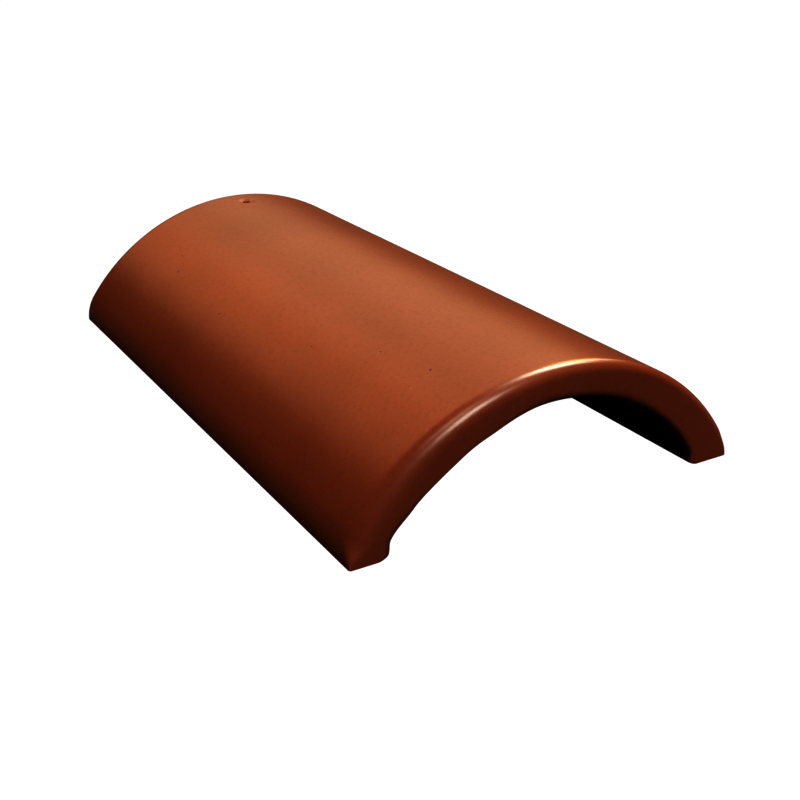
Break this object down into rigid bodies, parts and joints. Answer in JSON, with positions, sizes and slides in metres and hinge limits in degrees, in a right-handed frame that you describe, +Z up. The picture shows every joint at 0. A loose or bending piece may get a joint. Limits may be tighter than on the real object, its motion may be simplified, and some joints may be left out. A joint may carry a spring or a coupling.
{
  "type": "ridge tile",
  "caption": "Low arched ridge tile with a smooth red-brown coat, flat feet, a rounded front rim and a nail hole in the crown near the back end.",
  "frame": {"origin": "on the floor under the middle of the tile", "axes": "+Y along the tile from the rounded front end to the nailed end, +Z up through the crown, X across the two feet"},
  "size_m": [0.25, 0.407, 0.081],
  "materials": {
    "coated_tile": null
  },
  "bodies": {
    "root": {"ridge_tile": "coated_tile"}
  },
  "joints": []
}
